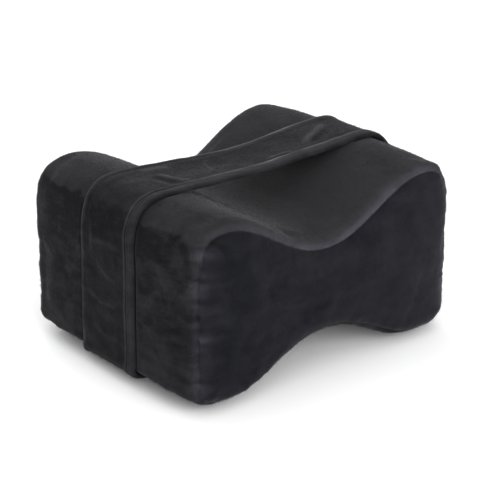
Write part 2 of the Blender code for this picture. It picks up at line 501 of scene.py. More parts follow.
# %% Where the strap's edges run
def strap_edge(x, z, which):
    """The Y of one edge of the strap beside each place of the profile."""
    across, shoulder_top = np.abs(x), HEIGHT - TOP.shoulder_height
    over = (1 - np.cos(np.pi * np.clip(across / TOP.crest_x, 0, 1))) / 2
    downwards = (EDGES_HOLLOW, EDGES_CREST, EDGES_WALL, EDGES_UNDER)
    middle, crest, upper_wall, foot = (getattr(edges, which) for edges in downwards)
    hollow = blend(middle, crest, over)
    down = np.clip((HEIGHT - z) / (HEIGHT - shoulder_top), 0, 1)
    shoulder = blend(crest, upper_wall, down)
    lower = np.clip((shoulder_top - z) / shoulder_top, 0, 1)
    wall = blend(upper_wall, foot, lower)
    on_bridge = (z > HEIGHT / 2) & (across < TOP.crest_x)
    edge = np.where(on_bridge, hollow, np.where(z > shoulder_top, shoulder, wall))
    if which == "front":
        edge = edge + FRONT_SKEW * x / (WIDTH / 2) * np.clip(z / HEIGHT, 0, 1)
    turned = 1 - np.clip((z - FOOT_LEVEL) / (UNDER_TURN - FOOT_LEVEL), 0, 1)
    return edge + UNDER_SHIFT * turned**2


# %% Heights of the cover
SEAM_DEPTH = 0.002
SEAM_WIDTH = 0.0016
WRINKLE_START = 0.0025
Wrinkle = namedtuple("Wrinkle", "size height reach seed")
WRINKLES = (Wrinkle(0.0068, 0.0009, 0.015, 11), Wrinkle(0.0033, 0.0009, 0.009, 12))
PANEL_SEED_SHIFT = 5.0
BUNCHES = Noise(1, 0.024, 14)
BUNCH_RANGE = (-0.5, 0.7)
LEAST_BUNCH, BUNCH_RISE = 0.35, 0.9
WALL_SEAM = (0.08, 0.112)
CALM_SHARE = 0.4
WAVE_HEIGHT = 0.0005
COVER_WAVES = (Noise(1, 0.045, 21), Noise(0.5, 0.02, 22))
STRAP_PRESS = 0.0012
PRESS_EASE = 0.003
FOOT_EASE = 0.006
BRIDGE_INSET = 0.01
BRIDGE_DROP = 0.0008


def strap_cover(points):
    """1 where the strap lies on the cushion, and 0 away from it."""
    x, y, z = points.T
    room = np.minimum(y - strap_edge(x, z, "front"), strap_edge(x, z, "back") - y)
    inside_strap = ease_in(room, -PRESS_EASE, PRESS_EASE)
    bridged = (np.abs(x) < TOP.crest_x - BRIDGE_INSET) & (z < HEIGHT - BRIDGE_DROP)
    return np.where(bridged, 0.0, inside_strap)


along_seam = seam_place + np.where(on_panel, PANEL_SEED_SHIFT, 0.0)[:, None]
beside_wall = ease_in(np.abs(seam_place[:, 0]), *WALL_SEAM)
bunched = LEAST_BUNCH + BUNCH_RISE * ease_in(layered_noise(seam_place, [BUNCHES]), *BUNCH_RANGE)
bunched *= CALM_SHARE + (1 - CALM_SHARE) * beside_wall
pressed = strap_cover(fine_points)
height = WAVE_HEIGHT * layered_noise(fine_points, COVER_WAVES) + swell
for wrinkle in WRINKLES:
    fade = np.exp(-seam_distance / wrinkle.reach) * ease_in(seam_distance, 0.0, WRINKLE_START)
    height += wrinkle.height * bunched * fade * soft_noise(along_seam, wrinkle.size, wrinkle.seed)
height -= SEAM_DEPTH * np.exp(-((seam_distance / SEAM_WIDTH) ** 2))
height = height * (1 - pressed) - STRAP_PRESS * pressed
height *= ease_in(fine_points[:, 2], FOOT_LEVEL, FOOT_LEVEL + FOOT_EASE)
shaped = fine_points + cover_normals * height[:, None]
move_points(cover, shaped)
print("cover heights from", round(height.min() * 1000, 2), "to", round(height.max() * 1000, 2), "mm")

# %% [markdown]
# ## The strap
# The strap is a loop of doubled cloth, sewn with a rolled hem along each edge. It is modelled directly: a
# section with its two hems is carried round a path that hugs the walls, bridges the hollow with a slight
# sag and lies flat under the feet. The front hem is about 9 mm broad, with a stitched groove and a ridge
# beside it. The back one is narrow and uneven.

# %% The strap's path
STRAP_SAMPLES = Samples(hollow=80, shoulder=44, wall=56)


def strap_path():
    """The strap's inner face round the middle of the cushion, as (x, z) rows."""
    outline = outline_at(0.0, STRAP_SAMPLES)
    x = outline[:, 0]
    number = np.arange(len(outline))
    side = side_count(STRAP_SAMPLES)
    bridge = (number < side) & (np.abs(x) < TOP.crest_x)
    sag = STRAP_SAG * (1 + np.cos(np.pi * x / TOP.crest_x)) / 2
    outline[:, 1] = np.where(bridge, HEIGHT - sag, outline[:, 1])
    first_under = side + STRAP_SAMPLES.wall - 1
    under = (number >= first_under) & (number < first_under + side)
    arch = under & (np.abs(x) < UNDERSIDE.crest_x)
    outline[:, 1] = np.where(arch, FOOT_LEVEL, outline[:, 1])
    return outline + outward(outline) * GAP


path = strap_path()
path_out = outward(path)
steps_along = np.linalg.norm(np.roll(path, -1, axis=0) - path, axis=1)
STRAP_LENGTH = float(steps_along.sum())
travelled = np.concatenate([[0], np.cumsum(steps_along)[:-1]])
travelled -= travelled[side_count(STRAP_SAMPLES) // 2]
travelled = np.where(travelled > STRAP_LENGTH / 2, travelled - STRAP_LENGTH, travelled)
print("strap:", round(STRAP_LENGTH * 1000), "mm round")

# %% Its two edges
EDGE_WANDER = 0.0005
WANDER_SIZE = 0.03
ring_points = columns(path[:, 0], np.zeros(len(path)), path[:, 1])
front_edge = strap_edge(*path.T, "front") + EDGE_WANDER * soft_noise(ring_points, WANDER_SIZE, 31)
back_edge = strap_edge(*path.T, "back") + EDGE_WANDER * soft_noise(ring_points, WANDER_SIZE, 32)
print("strap:", round(float((back_edge - front_edge).min()) * 1000), "mm wide where it is narrowest")

# %% The section with its two hems
HemPoint = namedtuple("HemPoint", "from_edge height")
BACK_HEM_TURNS = (0.085, 0.125)
FRONT_HEM = [HemPoint(*place) for place in (
    (0.0005, 0.0001), (0.0001, 0.0005), (0.0, 0.0013), (0.0001, 0.0021), (0.0005, 0.0029),
    (0.0012, 0.0033), (0.0022, 0.0035), (0.0037, 0.0034), (0.0051, 0.0034), (0.0062, 0.0035),
    (0.0068, 0.0033), (0.0072, 0.003), (0.0074, 0.0028), (0.0077, 0.0027), (0.008, 0.0029),
    (0.0083, 0.0033), (0.0087, 0.0036), (0.0093, 0.0034), (0.0103, 0.0028), (0.0116, 0.0025),
)]
BACK_HEM = [HemPoint(*place) for place in (
    (0.0005, 0.0001), (0.0001, 0.0006), (0.0, 0.0015), (0.0001, 0.0024), (0.0005, 0.0032),
    (0.0012, 0.0036), (0.0022, 0.0035), (0.0031, 0.0031), (0.0038, 0.0028), (0.0046, 0.0027),
    (0.0054, 0.0027), (0.0062, 0.0028), (0.0072, 0.0028), (0.0086, 0.0026), (0.0105, 0.0025),
)]
BACK_HEM_PLACES = (-0.11, -0.06, 0.01, 0.06)
BACK_HEM_SHARES = (1.2, 1.1, 0.75, 0.65)
PANEL_POINTS = 30
INNER_POINTS = 18


def strap_rows():
    """(y, height) for each point of the section, one row for each place along the path."""
    x, z = path.T
    on_top = ease_in(z, *BACK_HEM_TURNS)
    share = 1 - on_top + on_top * np.interp(x, BACK_HEM_PLACES, BACK_HEM_SHARES)
    ys = [front_edge + point.from_edge for point in FRONT_HEM]
    heights = [point.height for point in FRONT_HEM]
    first = front_edge + FRONT_HEM[-1].from_edge
    last = back_edge - BACK_HEM[-1].from_edge * share
    for part in np.linspace(0, 1, PANEL_POINTS + 2)[1:-1]:
        ys.append(blend(first, last, part))
        heights.append(CLOTH_THICKNESS)
    for point in reversed(BACK_HEM):
        ys.append(back_edge - point.from_edge * share)
        heights.append(point.height)
    first, last = ys[-1], ys[0]
    for part in np.linspace(0, 1, INNER_POINTS + 2)[1:-1]:
        ys.append(blend(first, last, part))
        heights.append(0.0)
    return np.array(ys).T, np.array(heights)


strap_y, strap_height = strap_rows()
print("strap section:", len(strap_height), "points, at", len(path), "places")

# %% [markdown]
# ## Creases placed one by one
# A pulled strap creases where it turns and where its hem is tighter than its middle. Each crease is a soft
# ridge or trough along a line of places on the flat strap: how far along from the middle of the top, and
# how far across. A ridge fades out at both ends.

# %% The creases
Crease = namedtuple("Crease", "height half_width places")
CREASES = [Crease(*row) for row in (
    (0.0013, 0.0024, (
        (-0.076, 0.006), (-0.074, -0.002), (-0.0722, -0.01), (-0.069, -0.017), (-0.06, -0.019)
    )),
    (-0.0009, 0.0036, ((-0.082, 0.004), (-0.08, -0.006), (-0.078, -0.015), (-0.072, -0.0205))),
    (0.0007, 0.003, ((-0.085, 0.015), (-0.07, 0.013), (-0.058, 0.0095))),
    (0.001, 0.0034, (
        (0.048, -0.012), (0.06, -0.005), (0.074, 0.002), (0.086, 0.009), (0.092, 0.017)
    )),
    (-0.0007, 0.004, ((0.056, -0.013), (0.07, -0.007), (0.086, 0.001))),
    (0.0008, 0.0016, ((0.008, -0.0175), (0.018, -0.015), (0.029, -0.0148), (0.04, -0.0175))),
    (0.0004, 0.0012, ((-0.031, 0.009), (-0.034, -0.002), (-0.037, -0.015))),
    (0.0009, 0.0019, ((-0.154, 0.019), (-0.1495, 0.006), (-0.1485, -0.01), (-0.1475, -0.027))),
    (-0.0007, 0.003, ((-0.16, 0.017), (-0.155, 0.004), (-0.154, -0.012), (-0.153, -0.024))),
    (0.0007, 0.0019, (
        (-0.187, 0.02), (-0.1925, 0.014), (-0.195, 0.002), (-0.194, -0.01), (-0.191, -0.021)
    )),
    (0.0006, 0.0016, ((-0.133, 0.015), (-0.148, 0.013), (-0.164, 0.014))),
    (0.0006, 0.0018, ((-0.164, 0.01), (-0.173, -0.004), (-0.176, -0.02))),
    (0.0006, 0.0022, ((-0.213, 0.016), (-0.221, -0.002), (-0.217, -0.022))),
    (0.0012, 0.0024, ((0.145, 0.018), (0.149, 0.002), (0.156, -0.016), (0.154, -0.03))),
    (-0.0008, 0.0034, ((0.152, 0.016), (0.157, 0.0), (0.164, -0.018))),
    (0.0008, 0.0022, ((0.196, 0.016), (0.202, -0.002), (0.199, -0.024))),
)]
CREASE_EASE = 0.3


def line_places(places, points):
    """(distance to the broken line, share of its length at the nearest place) for each point."""
    places = np.array(places)
    starts, spans = places[:-1], np.diff(places, axis=0)
    lengths = np.linalg.norm(spans, axis=1)
    passed = np.concatenate([[0], np.cumsum(lengths)])
    best = np.full(len(points), np.inf)
    share = np.zeros(len(points))
    for start, span, length, before in zip(starts, spans, lengths, passed):
        part = np.clip((points - start) @ span / length**2, 0, 1)
        distance = np.linalg.norm(points - start - part[:, None] * span, axis=1)
        nearer = distance < best
        best = np.where(nearer, distance, best)
        share = np.where(nearer, (before + part * length) / passed[-1], share)
    return best, share


def crease_heights(points):
    """The lift of all the creases at each (along, across) place on the strap."""
    lift = np.zeros(len(points))
    for crease in CREASES:
        distance, share = line_places(crease.places, points)
        ends = ease_in(share, 0.0, CREASE_EASE) * (1 - ease_in(share, 1 - CREASE_EASE, 1.0))
        lift += crease.height * ends * np.exp(-((distance / crease.half_width) ** 2))
    return lift


# %% The strap's points and faces
STRAP_WAVE = 0.00035
STRAP_WAVES = (Noise(1, (0.02, 0.012, 0.02), 41), Noise(0.6, (0.009, 0.007, 0.009), 42))
FREE_INSET = 0.006
EDGE_DROOP = 0.0008
MIDDLE_TROUGH = 0.0012
OUTER_FACE_FROM = 0.0005
on_flat_strap = np.stack(np.broadcast_arrays(travelled[:, None], strap_y), axis=-1).reshape(-1, 2)


def strap_arrays():
    places = np.stack(np.broadcast_arrays(path[:, :1], strap_y, path[:, 1:]), axis=-1)
    flat = places.reshape(-1, 3)
    wave = STRAP_WAVE * layered_noise(flat, STRAP_WAVES).reshape(strap_y.shape)
    lift = crease_heights(on_flat_strap).reshape(strap_y.shape)
    free = ((path[:, 1] > HEIGHT / 2) & (np.abs(path[:, 0]) < TOP.crest_x - FREE_INSET))[:, None]
    on_floor = (path[:, 1] < FOOT_LEVEL)[:, None]
    middle = (front_edge + back_edge)[:, None] / 2
    half = (back_edge - front_edge)[:, None] / 2
    edge_share = np.clip(np.abs(strap_y - middle) / half, 0, 1)
    hang = (1 + np.cos(np.pi * np.clip(path[:, :1] / TOP.crest_x, -1, 1))) / 2 * free
    droop = EDGE_DROOP * edge_share**6 * hang + MIDDLE_TROUGH * (1 - edge_share**2) ** 2 * hang
    outer = strap_height[None, :] > OUTER_FACE_FROM
    height = strap_height[None, :] - droop + np.where(outer | free, wave, 0.0) + np.where(outer, lift, 0.0)
    height = np.where(on_floor, strap_height[None, :], height)
    x = path[:, :1] + path_out[:, :1] * height
    z = np.maximum(path[:, 1:] + path_out[:, 1:] * height, 0.0)
    points = np.stack(np.broadcast_arrays(x, strap_y, z), axis=-1)
    number = np.arange(strap_y.size).reshape(strap_y.shape)
    after = np.roll(number, -1, axis=0)
    beside, after_beside = np.roll(number, -1, axis=1), np.roll(after, -1, axis=1)
    faces = np.stack([number, after, after_beside, beside], axis=-1).reshape(-1, 4)
    return points.reshape(-1, 3), faces.tolist()


strap_points, strap_faces = strap_arrays()
strap = mesh_object("leg_strap", strap_points, strap_faces)
print("strap:", len(strap_points), "points,", len(strap_faces), "faces")

# %% [markdown]
# ## Painted light and shade on the pile
# The pile's colour carries painted light. Where the surface faces up it is painted a lit grey, and on the
# walls it is painted nearly black as shade, with a sudden change along a ragged line on each shoulder. The
# end panels are painted in shade too. Painted highlights run along the top of each seam, as painted sheen on
# ruffled pile beside the seams, and as thin lines along the strap's hems and on its raised creases. Two
# numbers for each point carry this: the painted light with random strokes in it, and the painted highlights.
# The materials read both and add finer unevenness of their own.

# %% Painted light on top and painted shade on the walls
SHOULDER_LINE = (0.46, 0.6)
RAGGED_LINE = (Noise(0.16, 0.019, 51), Noise(0.09, 0.008, 52))
# Painted light where the surface faces up, and painted shade on the walls, darkest just under the shoulder.
TOP_PAINTED_LIGHT = 0.8
DARKEST_WALL_SHADE = 0.02
LOW_WALL_SHADE = 0.34
WALL_RECOVERY = (0.016, 0.052)
WALL_STROKES = 0.2
STROKES = (Noise(1, (0.034, 0.03, 0.012), 53), Noise(0.6, (0.014, 0.014, 0.006), 54))
# Painted shade on the end panels.
PANEL_SHADE = 0.27
PANEL_TURN = 0.46
PANEL_PATCHES = 0.07
PATCHES = (Noise(1, (0.05, 0.03, 0.03), 55), Noise(0.5, (0.02, 0.02, 0.012), 56))


def painted_light_and_nap_of(points, normals):
    """Painted light: 1 where it faces up, painted shade on the walls, with random strokes."""
    lit_share = ease_in(normals[:, 2] + layered_noise(points, RAGGED_LINE), *SHOULDER_LINE)
    wall = blend(DARKEST_WALL_SHADE, LOW_WALL_SHADE, ease_in(HEIGHT - points[:, 2], *WALL_RECOVERY))
    wall = np.clip(wall + WALL_STROKES * layered_noise(points, STROKES), 0, 1)
    return blend(wall, TOP_PAINTED_LIGHT, lit_share)


def panel_shade_and_nap_of(points):
    """Painted shade on the end panels, darker towards negative x and in soft patches."""
    turned = PANEL_SHADE + PANEL_TURN * points[:, 0] / WIDTH
    return np.clip(turned + PANEL_PATCHES * layered_noise(points, PATCHES), 0, 1)


# %% Painted highlights along the seams
RIM_REACH = 0.0036
# Painted highlight on the band where it faces up along the top of each seam.
RIM_HIGHLIGHT = 0.7
RIM_PATCHES = Noise(0.4, 0.01, 61)
LEFT_RIM = 0.35
RIM_FROM = (-0.085, -0.03)
FACING_UP = (0.15, 0.5)
# Painted sheen on ruffled tufts of pile beside the seams, stronger low down.
TUFT_REACH = 0.0058
TUFT_PATCHES = Noise(1, 0.016, 62)
FINE_TUFT_PATCHES = Noise(0.5, 0.005, 63)
TUFTED_PATCHES = (-0.25, 0.6)
TUFTED_BELOW = (0.03, 0.075)
HIGH_TUFTS, MORE_LOW_TUFTS = 0.45, 0.55
TUFTS_ELSEWHERE = 0.2
# A weaker painted sheen along the side seams.
SIDE_SEAM_SHEEN = 0.2
SIDE_SEAM_SHEEN_REACH = 0.0055
SEAM_PATCHES = Noise(1, 0.004, 65)
CLEAR_OF_FEET = (0.004, 0.012)


def cover_painted_highlights():
    """Painted highlight on the band above each seam, and painted sheen on ruffled tufts beside it."""
    upward = ease_in(cover_normals[:, 2], *FACING_UP)
    uneven_rim = RIM_HIGHLIGHT + layered_noise(seam_place, [RIM_PATCHES])
    rim = np.exp(-seam_distance / RIM_REACH) * upward * uneven_rim
    rim *= blend(LEFT_RIM, 1, ease_in(fine_points[:, 0], *RIM_FROM))
    patches = layered_noise(seam_place, [TUFT_PATCHES]) + layered_noise(along_seam, [FINE_TUFT_PATCHES])
    low = 1 - ease_in(fine_points[:, 2], *TUFTED_BELOW)
    tufts = (HIGH_TUFTS + MORE_LOW_TUFTS * low) * ease_in(patches, *TUFTED_PATCHES)
    tufts *= np.exp(-seam_distance / TUFT_REACH) * (1 - upward)
    tufts *= blend(TUFTS_ELSEWHERE, 1, beside_wall)
    side_seam = (1 - upward) * ease_in(fine_points[:, 2], *CLEAR_OF_FEET) * beside_wall
    uneven_seam = 1 + layered_noise(seam_place, [SEAM_PATCHES])
    tufts += SIDE_SEAM_SHEEN * side_seam * np.exp(-seam_distance / SIDE_SEAM_SHEEN_REACH) * uneven_seam
    return np.clip(np.where(on_panel, tufts, rim + tufts), 0, 1)


# %% Painted highlights on the strap
HemLine = namedtuple("HemLine", "from_edge half_width strength")
# Painted highlights: thin lines along the hem ridges, brightest on top over the hollow, and a faint wider
# border by each hem.
FRONT_LINES = (HemLine(0.0089, 0.0007, 1.45), HemLine(0.0068, 0.0006, 0.75))
FRONT_BORDER = HemLine(0.0026, 0.0036, 0.13)
BACK_LINES = (HemLine(0.0009, 0.001, 1),)
BACK_BORDER = HemLine(0.0022, 0.0018, 0.16)
FULL_CREASE = 0.0012
CREASE_HIGHLIGHT = 0.3
WALL_CREASE_HIGHLIGHT = 0.11
WALL_HEM_HIGHLIGHT = 0.18
BRIGHT_LINES_FROM = (-0.084, -0.06)
HEM_LINES_RISE = (0.124, 0.134)
CREASES_RISE = (0.11, 0.13)
HEM_HIGHLIGHT = 0.65
HEM_PATCHES = Noise(0.35, 0.012, 64)
outer_face = np.tile(strap_height > OUTER_FACE_FROM, len(path))


def hem_lines(distance, lines):
    total = 0
    for line in lines:
        total = total + line.strength * np.exp(-(((distance - line.from_edge) / line.half_width) ** 2))
    return total


def strap_painted_highlights():
    """Painted highlights on the strap: thin lines on the ridges of its hems and along its raised creases."""
    from_front, from_back = strap_y - front_edge[:, None], back_edge[:, None] - strap_y
    lines = hem_lines(from_front, FRONT_LINES) + hem_lines(from_back, BACK_LINES)
    borders = hem_lines(from_front, [FRONT_BORDER]) + hem_lines(from_back, [BACK_BORDER])
    bridged = ease_in(strap_points[:, 2], *HEM_LINES_RISE) * ease_in(strap_points[:, 0], *BRIGHT_LINES_FROM)
    hems = lines.ravel() * blend(WALL_HEM_HIGHLIGHT, 1, bridged) + borders.ravel()
    hems *= HEM_HIGHLIGHT + layered_noise(strap_points, [HEM_PATCHES])
    # Painted highlight along the raised creases, weaker on the walls.
    raised = np.clip(crease_heights(on_flat_strap) / FULL_CREASE, 0, 1)
    raised *= blend(WALL_CREASE_HIGHLIGHT, CREASE_HIGHLIGHT, ease_in(strap_points[:, 2], *CREASES_RISE))
    return np.clip(outer_face * (hems + raised), 0, 1)


# %% Both numbers on both pieces
# Painted light added in the hollow between the crests, under the strap.
HOLLOW_PAINTED_LIGHT = 0.2
HOLLOW_FROM_CREST = (0.004, 0.04)
# The strap's painted top light is held lower, and its front hem is painted lighter where it runs down the
# walls.
STRAP_TOP_PAINTED_LIGHT = 0.64
HEM_PAINTED_LIGHT = 0.22
FRONT_HEM_ENDS = (0.0066, 0.0076)
LIT_FROM = 0.6


def store(obj, name, values):
    attribute = obj.data.attributes.new(name, "FLOAT", "POINT")
    attribute.data.foreach_set("value", values.astype(np.float32))


in_hollow = ease_in(TOP.crest_x - np.abs(fine_points[:, 0]), *HOLLOW_FROM_CREST)
in_hollow *= fine_points[:, 2] > HEIGHT / 2
# Painted light and shade on the cover and its end panels.
cover_light_and_nap = np.where(on_panel, panel_shade_and_nap_of(fine_points), painted_light_and_nap_of(fine_points, cover_normals))
# Painted light in the hollow.
cover_light_and_nap += HOLLOW_PAINTED_LIGHT * in_hollow * ~on_panel
highlight_share = cover_painted_highlights()
store(cover, "painted_light_and_nap", cover_light_and_nap)
store(cover, "tips", highlight_share)
# Painted light and shade on the strap.
strap_light_and_nap = painted_light_and_nap_of(strap_points, normals_of(strap))
on_front_hem = 1 - ease_in((strap_y - front_edge[:, None]).ravel(), *FRONT_HEM_ENDS)
# Painted light on the strap, held lower on top and raised on the front hem down the walls.
strap_light_and_nap = np.minimum(strap_light_and_nap, STRAP_TOP_PAINTED_LIGHT) + HEM_PAINTED_LIGHT * on_front_hem * (strap_light_and_nap < TOP_PAINTED_LIGHT / 2)
store(strap, "painted_light_and_nap", strap_light_and_nap)
strap_highlight_share = strap_painted_highlights()
store(strap, "tips", strap_highlight_share)
# Share of the cover that is painted as lit.
print("standing pile on", round(float((cover_light_and_nap > LIT_FROM).mean()) * 100), "% of the cover")

# %% [markdown]
# ## Tufts of pile
# The outline of plush is never a clean edge, because fibres stand out from it. Hair doesn't survive an
# export, so each tuft is a slender closed spike of four triangles, with its foot inside the cloth. Tufts
# lean with the nap, are scattered by a seeded generator, and are thicker along the seams.

# %% Growing tufts on a piece
Pile = namedtuple("Pile", "count length radius seed")
COVER_PILE = Pile(count=46000, length=0.0015, radius=0.00013, seed=7)
STRAP_PILE = Pile(count=20000, length=0.0012, radius=0.00012, seed=8)
FOOT_DEPTH = 0.0003
LEAN = 0.55
SPREAD = 0.45
NAP_DOWN = np.array([0.0, -0.5, -1.0])
TUFT_LENGTHS = (0.55, 1.25)
TUFT_TURNS = np.radians((0, 120, 240))
TUFT_FACES = np.array([(0, 1, 3), (1, 2, 3), (2, 0, 3), (2, 1, 0)])
SIDE_SHIFT = 0.1
CLEAR_OF_FLOOR = 0.0045
BARE_OF_STRAP = 0.1
SEAM_THICKENING = 3.0


def triangles_of(obj):
    mesh = obj.data
    mesh.calc_loop_triangles()
    corners = np.empty(len(mesh.loop_triangles) * 3, np.int32)
    mesh.loop_triangles.foreach_get("vertices", corners)
    return corners.reshape(-1, 3)


def unit(vectors):
    return vectors / np.maximum(np.linalg.norm(vectors, axis=1, keepdims=True), 1e-9)


def grow_pile(name, source, share, values, pile):
    """Tufts on a piece. share weighs each of its points, and values are its painted light and highlights."""
    points = read_vectors(source.data.vertices, "co")
    normals = normals_of(source)
    triangles = triangles_of(source)
    corners = points[triangles]
    area = np.linalg.norm(np.cross(corners[:, 1] - corners[:, 0], corners[:, 2] - corners[:, 0]), axis=1)
    weight = area * share[triangles].min(axis=1)
    chance = np.random.default_rng(pile.seed)
    chosen = triangles[chance.choice(len(triangles), pile.count, p=weight / weight.sum())]
    mix = chance.dirichlet((1, 1, 1), pile.count)
    root = np.einsum("ij,ijk->ik", mix, points[chosen])
    normal = unit(np.einsum("ij,ijk->ik", mix, normals[chosen]))
    nap = NAP_DOWN - normal * (normal @ NAP_DOWN)[:, None]
    stray = chance.normal(size=(pile.count, 3))
    axis = unit(normal + LEAN * unit(nap) + SPREAD * stray)
    side = unit(np.cross(axis, unit(stray + SIDE_SHIFT)))
    other = np.cross(axis, side)
    length = pile.length * chance.uniform(*TUFT_LENGTHS, (pile.count, 1))
    foot = root - normal * FOOT_DEPTH
    made = [foot + pile.radius * (np.cos(turn) * side + np.sin(turn) * other) for turn in TUFT_TURNS]
    made.append(root + axis * length)
    faces = 4 * np.arange(pile.count)[:, None, None] + TUFT_FACES
    tufts = mesh_object(name, np.stack(made, axis=1).reshape(-1, 3), faces.reshape(-1, 3).tolist())
    for label, field in zip(("painted_light_and_nap", "tips"), values):
        store(tufts, label, np.repeat(np.einsum("ij,ij->i", mix, field[chosen]), 4))
    return tufts, chosen


above_floor = shaped[:, 2] > CLEAR_OF_FLOOR
thicker = 1 + SEAM_THICKENING * np.exp(-seam_distance / RIM_REACH)
cover_share = above_floor * (pressed < BARE_OF_STRAP) * thicker
cover_pile, cover_roots = grow_pile("cover_pile", cover, cover_share, (cover_light_and_nap, highlight_share), COVER_PILE)
strap_share = (outer_face * (strap_points[:, 2] > CLEAR_OF_FLOOR)).astype(float)
strap_pile, strap_roots = grow_pile("strap_pile", strap, strap_share, (strap_light_and_nap, strap_highlight_share), STRAP_PILE)
print("tufts:", len(cover_roots), "on the cover,", len(strap_roots), "on the strap")

# %% [markdown]
# ## Black plush
# Short pile looks black where we look straight down into it and grey where it is seen edge on. A dark
# base with a soft sheen does that. One node group turns the painted light and the painted highlights into
# patchy, streaked colour: a lit and a shaded colour mixed by the painted light, with a pale painted highlight
# colour over them. Another gives the grain of the fibres. Three materials use both, each with its own
# colours and scales.

# %% Node helpers
def new_group(name, inputs, outputs):
    """A shader node group with named sockets, and the sockets that lead into it and out of it."""
    group = bpy.data.node_groups.new(name, "ShaderNodeTree")
    for label, value in inputs.items():
        kind = "NodeSocketColor" if isinstance(value, tuple) else "NodeSocketFloat"
        socket = group.interface.new_socket(name=label, in_out="INPUT", socket_type=kind)
        socket.default_value = value
    for label, kind in outputs.items():
        group.interface.new_socket(name=label, in_out="OUTPUT", socket_type=kind)
    return group, group.nodes.new("NodeGroupInput").outputs, group.nodes.new("NodeGroupOutput").inputs


def add_node(tree, kind, sockets=None, **settings):
    """A node with its settings. sockets gives a value or another node's socket for each input."""
    node = tree.nodes.new(kind)
    for name, value in settings.items():
        setattr(node, name, value)
    for place, value in (sockets or {}).items():
        if isinstance(value, bpy.types.NodeSocket):
            tree.links.new(value, node.inputs[place])
        else:
            node.inputs[place].default_value = value
    return node


def set_sockets(node, values):
    for label, value in values.items():
        node.inputs[label].default_value = value


def math_node(tree, operation, *values, clamp=False):
    node = add_node(tree, "ShaderNodeMath", dict(enumerate(values)), operation=operation, use_clamp=clamp)
    return node.outputs["Value"]


def mix_colours(tree, share, first, second):
    node = add_node(tree, "ShaderNodeMix", {"Factor": share, "A": first, "B": second}, data_type="RGBA")
    return node.outputs["Result"]


def noise_node(tree, place, scale, **settings):
    node = add_node(tree, "ShaderNodeTexNoise", {"Vector": place, "Scale": scale, **settings})
    return node.outputs["Fac"]


# %% Painted shade and painted light in the pile's colour, with patches, streaks and painted highlights
STREAK_TURN = (0.25, 0.35, 0.3)
STREAK_STRETCH = (0.3, 0.3, 1.0)
PATCH_CONTRAST = (1.9, -0.95)
STREAK_CONTRAST = (1.3, -0.65)
CALM_WHERE_LIT = (-0.75, 1.0)


def make_nap_and_light_group():
    numbers = {"Painted Light And Nap": 0.5, "Tips": 0.0, "Patch Scale": 55.0, "Streak Scale": 150.0, "Contrast": 1.0}
    # Default colours: painted shade, painted light and painted highlight.
    dark, grey, pale = (0.004, 0.004, 0.005, 1.0), (0.02, 0.02, 0.024, 1.0), (0.06, 0.058, 0.075, 1.0)
    inputs = {**numbers, "Lying": dark, "Standing": grey, "Painted Highlight Colour": pale}
    group, given, result = new_group("nap_patches_and_painted_light", inputs, {"Color": "NodeSocketColor"})
    place = add_node(group, "ShaderNodeTexCoord").outputs["Object"]
    patch_scale, streak_scale = given["Patch Scale"], given["Streak Scale"]
    patches = noise_node(group, place, patch_scale, Detail=3.0, Roughness=0.6, Distortion=0.7)
    turned = {"Vector": place, "Rotation": STREAK_TURN, "Scale": STREAK_STRETCH}
    stretched = add_node(group, "ShaderNodeMapping", turned).outputs["Vector"]
    streaks = noise_node(group, stretched, streak_scale, Detail=4.0, Roughness=0.62)
    patch_share = math_node(group, "MULTIPLY_ADD", patches, *PATCH_CONTRAST)
    streak_share = math_node(group, "MULTIPLY_ADD", streaks, *STREAK_CONTRAST)
    both = math_node(group, "ADD", patch_share, streak_share)
    uneven = math_node(group, "MULTIPLY", both, given["Contrast"])
    # Less patchiness where the pile is painted as lit. The painted light mixes the shaded and lit colours,
    # and the painted highlights lay a pale colour over them.
    calm = math_node(group, "MULTIPLY_ADD", given["Painted Light And Nap"], *CALM_WHERE_LIT)
    painted_light_and_nap = math_node(group, "MULTIPLY_ADD", uneven, calm, given["Painted Light And Nap"], clamp=True)
    highlight_share = given["Tips"]
    tips = math_node(group, "MULTIPLY_ADD", streak_share, highlight_share, highlight_share, clamp=True)
    pile = mix_colours(group, painted_light_and_nap, given["Lying"], given["Standing"])
    group.links.new(mix_colours(group, tips, pile, given["Painted Highlight Colour"]), result["Color"])
    return group


# %% The grain of the fibres
def make_grain_group():
    scales = {"Tuft Scale": 900.0, "Clump Scale": 320.0}
    group, given, result = new_group("pile_grain", scales, {"Height": "NodeSocketFloat"})
    place = add_node(group, "ShaderNodeTexCoord").outputs["Object"]
    tufts = noise_node(group, place, given["Tuft Scale"], Detail=2.0)
    clumps = noise_node(group, place, given["Clump Scale"], Detail=2.0)
    total = math_node(group, "ADD", tufts, clumps)
    group.links.new(math_node(group, "MULTIPLY", total, 0.5), result["Height"])
    return group


NAP_AND_LIGHT = make_nap_and_light_group()
GRAIN = make_grain_group()
print("node groups:", NAP_AND_LIGHT.name, "and", GRAIN.name)

